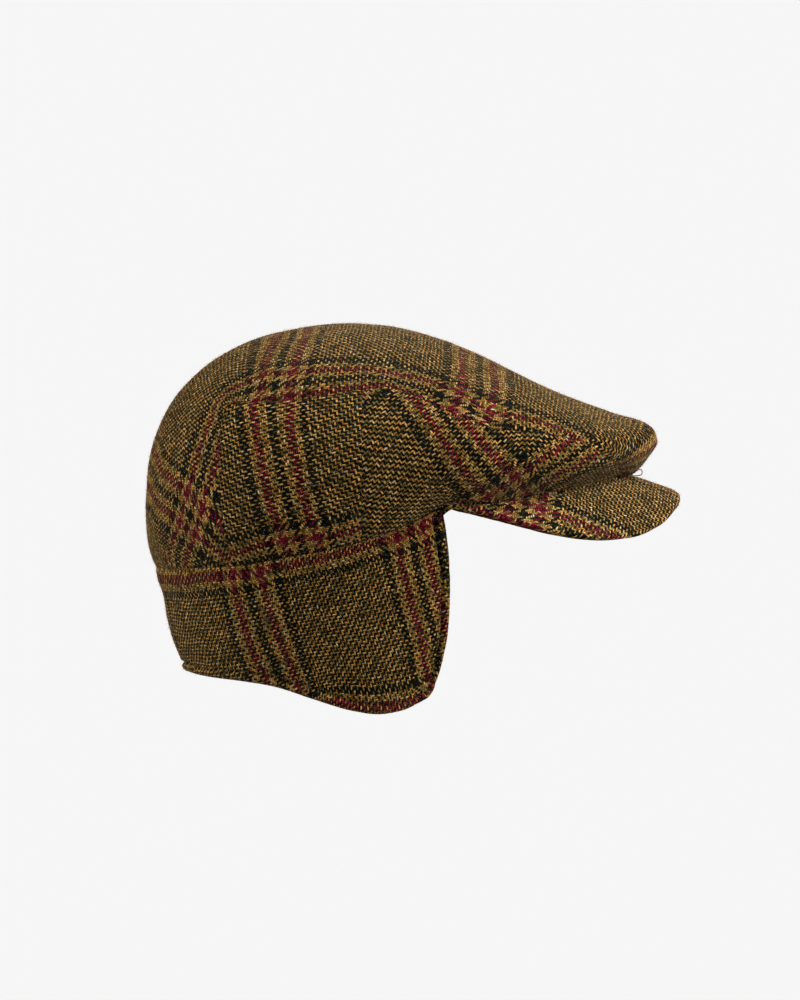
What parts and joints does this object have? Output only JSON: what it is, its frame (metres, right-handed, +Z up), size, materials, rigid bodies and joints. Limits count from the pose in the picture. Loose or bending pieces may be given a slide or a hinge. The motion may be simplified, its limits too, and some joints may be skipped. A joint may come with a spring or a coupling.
{
  "type": "driving cap with earflaps",
  "caption": "Flat-topped tweed driving cap with a short curved peak and a neck band that hangs down as two earflaps, open below for the head.",
  "frame": {"origin": "middle of the head opening, where the cap sits on a head", "axes": "+Z up through the crown, -Y the way the wearer looks (the peak), -X the wearer's right"},
  "size_m": [0.187, 0.268, 0.1909],
  "materials": {
    "crown_tweed": "woven wool tweed, matte, slightly fuzzy",
    "side_tweed": "woven wool tweed, matte, slightly fuzzy",
    "peak_tweed": "woven wool tweed over a board, matte",
    "band_tweed": "woven wool tweed, two layers, stitched hem"
  },
  "bodies": {
    "root": {"crown_top": "crown_tweed", "side_rear_right": "side_tweed", "side_rear_left": "side_tweed", "side_front_right": "side_tweed", "side_front_left": "side_tweed", "peak": "peak_tweed", "flap_band": "band_tweed"}
  },
  "joints": []
}
